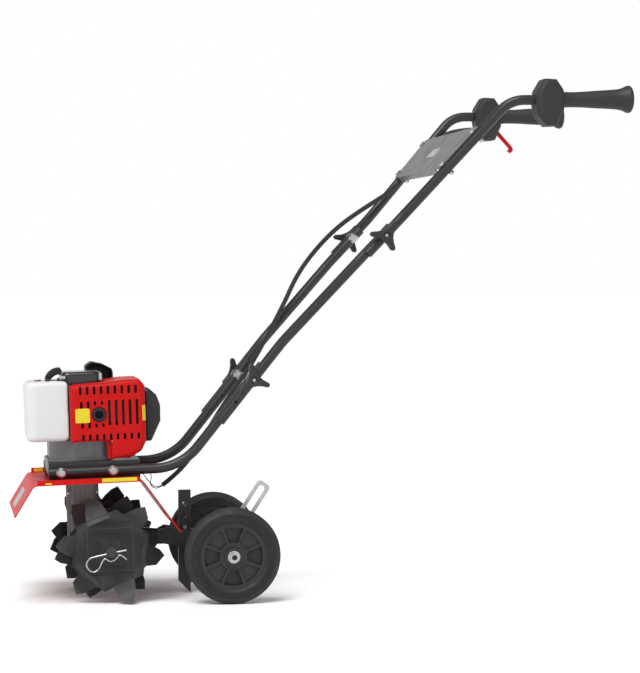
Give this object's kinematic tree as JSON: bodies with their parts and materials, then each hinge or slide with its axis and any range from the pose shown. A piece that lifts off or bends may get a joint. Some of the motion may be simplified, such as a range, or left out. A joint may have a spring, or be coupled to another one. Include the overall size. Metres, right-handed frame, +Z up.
{
  "type": "tiller",
  "caption": "Walk-behind petrol mini tiller: small two-stroke engine over a worm gearbox, pressed tine stars under a bent fender, transport wheels, depth stake and folding tubular handle.",
  "frame": {"origin": "on the ground under the middle of the machine's bounding box", "axes": "+X rearward towards the grips, +Y to the throttle side, +Z up"},
  "size_m": [1.1544, 0.5182, 0.984],
  "materials": {
    "black_paint": "satin black powder coat",
    "tine_steel": "satin black painted pressed steel",
    "red_paint": "gloss red paint",
    "red_plastic": "moulded gloss red",
    "black_plastic": "fine-textured moulded black",
    "gloss_black": "moulded gloss black",
    "grip_rubber": "soft moulded grip",
    "tyre_rubber": "solid rubber",
    "zinc": "zinc plated",
    "cast_alloy": "die cast, as cast",
    "steel": "machined",
    "bronze": "cut bronze",
    "piston_alloy": "machined",
    "exhaust": "heat-proof black",
    "tank_white": "translucent white blow moulding",
    "plate_grey": "satin dark grey"
  },
  "bodies": {
    "chassis": {"gearbox_case_left": "cast_alloy", "gearbox_case_right": "cast_alloy", "gearbox_bearings": "steel", "clutch_housing": "cast_alloy", "engine_bracket": "black_paint", "fender": "red_paint", "lower_tube_left": "black_paint", "lower_tube_right": "black_paint", "frame_bolts": "zinc", "crankcase": "cast_alloy", "crankshaft": "steel", "piston_and_rod": "piston_alloy", "cylinder": "cast_alloy", "flywheel": "cast_alloy", "starter_housing": "gloss_black", "engine_cover": "red_plastic", "rear_cover": "black_plastic", "muffler": "exhaust", "carburetor": "black_plastic", "air_filter_cover": "black_plastic", "fuel_tank": "tank_white", "spark_plug": "steel", "carrier_arm": "black_paint", "control_cable_lower": "black_plastic"},
    "fuel_cap": {"fuel_cap": "gloss_black"},
    "starter_reel": {"starter_reel": "gloss_black"},
    "starter_grip": {"starter_grip": "black_plastic"},
    "worm_drive": {"worm_shaft": "steel", "clutch_drum": "steel"},
    "tine_rotor": {"tine_axle": "tine_steel", "worm_wheel": "bronze", "tine_outer_left": "tine_steel", "tine_inner_left": "tine_steel", "tine_inner_right": "tine_steel", "tine_outer_right": "tine_steel", "tine_pins": "zinc"},
    "wheel_frame": {"wheel_bracket": "black_paint", "wheel_axle": "zinc", "adjust_arm": "zinc"},
    "left_wheel": {"wheel_left": "black_plastic", "tyre_left": "tyre_rubber"},
    "right_wheel": {"wheel_right": "black_plastic", "tyre_right": "tyre_rubber"},
    "stake": {"depth_stake": "black_paint", "stake_pin": "zinc"},
    "mid_handle": {"mid_tube_left": "black_paint", "mid_tube_right": "black_paint", "fold_hardware": "zinc", "control_cable_upper": "black_plastic"},
    "lower_knob_left": {"lower_knob_left": "black_plastic"},
    "lower_knob_right": {"lower_knob_right": "black_plastic"},
    "upper_knob_left": {"upper_knob_left": "black_plastic"},
    "upper_knob_right": {"upper_knob_right": "black_plastic"},
    "upper_handle": {"upper_tube_left": "black_paint", "upper_tube_right": "black_paint", "handle_plate": "plate_grey", "handle_fasteners": "zinc", "grip_left": "grip_rubber", "grip_right": "grip_rubber"},
    "throttle_trigger": {"throttle_trigger": "red_plastic"}
  },
  "joints": [
    {"name": "tine_spin", "type": "hinge", "parent": "chassis", "child": "tine_rotor", "pos_m": [-0.3985, 0, 0.1005], "axis": [0, 1, 0], "continuous": true},
    {"name": "worm_spin", "type": "hinge", "parent": "chassis", "child": "worm_drive", "pos_m": [-0.43998, 0, 0.0992], "axis": [-0.0314, 0, 0.9995], "continuous": true},
    {"name": "wheel_frame_swing", "type": "hinge", "parent": "chassis", "child": "wheel_frame", "pos_m": [-0.29, 0, 0.115], "axis": [0, -1, 0], "range_deg": [0, 45]},
    {"name": "left_wheel_spin", "type": "hinge", "parent": "wheel_frame", "child": "left_wheel", "pos_m": [-0.172, -0.15, 0.09], "axis": [0, 1, 0], "continuous": true},
    {"name": "right_wheel_spin", "type": "hinge", "parent": "wheel_frame", "child": "right_wheel", "pos_m": [-0.172, 0.15, 0.09], "axis": [0, 1, 0], "continuous": true},
    {"name": "stake_slide", "type": "slide", "parent": "chassis", "child": "stake", "axis": [0, 0, 1], "range_m": [0, 0.044]},
    {"name": "lower_fold", "type": "hinge", "parent": "chassis", "child": "mid_handle", "pos_m": [-0.1289, 0, 0.4189], "axis": [0, -1, 0], "range_deg": [0, 75], "deforming": ["control_cable_lower"]},
    {"name": "upper_fold", "type": "hinge", "parent": "mid_handle", "child": "upper_handle", "pos_m": [0.114, 0, 0.6913], "axis": [0, -1, 0], "range_deg": [0, 150], "deforming": ["control_cable_upper"]},
    {"name": "throttle_squeeze", "type": "hinge", "parent": "upper_handle", "child": "throttle_trigger", "pos_m": [0.421, 0.233, 0.921], "axis": [0, -1, 0], "range_deg": [0, 22], "stiffness_Nm_per_rad": 0.4, "springref_deg": -11.46},
    {"name": "starter_pull", "type": "slide", "parent": "chassis", "child": "starter_grip", "axis": [-0.9995, 0, -0.0314], "range_m": [0, 0.6], "stiffness_N_per_m": 12, "springref_m": -0.15},
    {"name": "starter_reel_spin", "type": "hinge", "parent": "chassis", "child": "starter_reel", "pos_m": [-0.44972, 0, 0.40904], "axis": [-0.0314, 0, 0.9995], "range_deg": [-5, 1400]},
    {"name": "fuel_cap_turn", "type": "hinge", "parent": "chassis", "child": "fuel_cap", "pos_m": [-0.52818, -0.018, 0.40658], "axis": [-0.0314, 0, 0.9995], "range_deg": [0, 270]},
    {"name": "lower_knob_left_turn", "type": "hinge", "parent": "mid_handle", "child": "lower_knob_left", "pos_m": [-0.1289, -0.135, 0.4189], "axis": [0, -1, 0], "range_deg": [0, 360]},
    {"name": "upper_knob_left_turn", "type": "hinge", "parent": "upper_handle", "child": "upper_knob_left", "pos_m": [0.114, -0.192, 0.6913], "axis": [0, -1, 0], "range_deg": [0, 360]},
    {"name": "lower_knob_right_turn", "type": "hinge", "parent": "mid_handle", "child": "lower_knob_right", "pos_m": [-0.1289, 0.135, 0.4189], "axis": [0, 1, 0], "range_deg": [0, 360]},
    {"name": "upper_knob_right_turn", "type": "hinge", "parent": "upper_handle", "child": "upper_knob_right", "pos_m": [0.114, 0.192, 0.6913], "axis": [0, 1, 0], "range_deg": [0, 360]}
  ],
  "couplings": [
    {"joint": "worm_spin", "follows": "tine_spin", "ratio": -30},
    {"joint": "starter_reel_spin", "follows": "starter_pull", "rad_per_m": 40}
  ]
}
